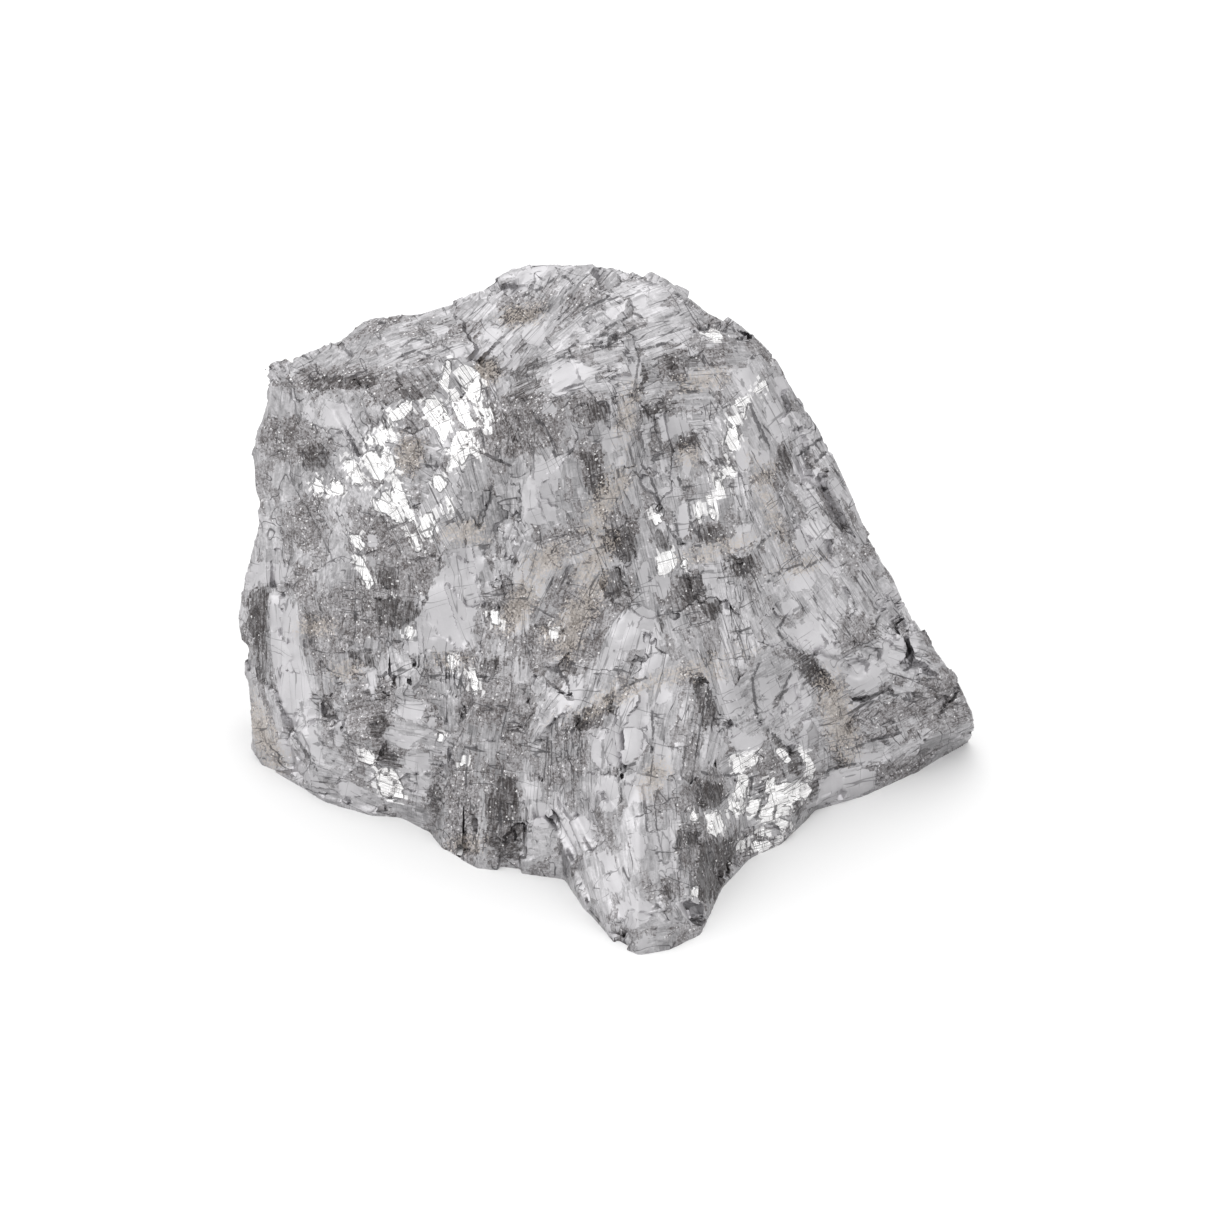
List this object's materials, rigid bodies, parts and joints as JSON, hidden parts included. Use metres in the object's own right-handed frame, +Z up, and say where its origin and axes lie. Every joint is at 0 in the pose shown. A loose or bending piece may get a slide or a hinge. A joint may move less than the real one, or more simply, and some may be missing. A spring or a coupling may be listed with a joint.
{
  "type": "raw galena",
  "caption": "Broken lump of natural lead ore with stepped metallic cleavage faces, a front spike and a low side wing, standing on a flat base.",
  "frame": {"origin": "middle of the outline, on the floor that the lump stands on", "axes": "+X along the lump's longest side, towards the low wing; +Y to the back; +Z up; the spike points to -Y"},
  "size_m": [0.0764, 0.06, 0.0503],
  "materials": {
    "galena": "satin"
  },
  "bodies": {
    "root": {"galena": "galena"}
  },
  "joints": []
}
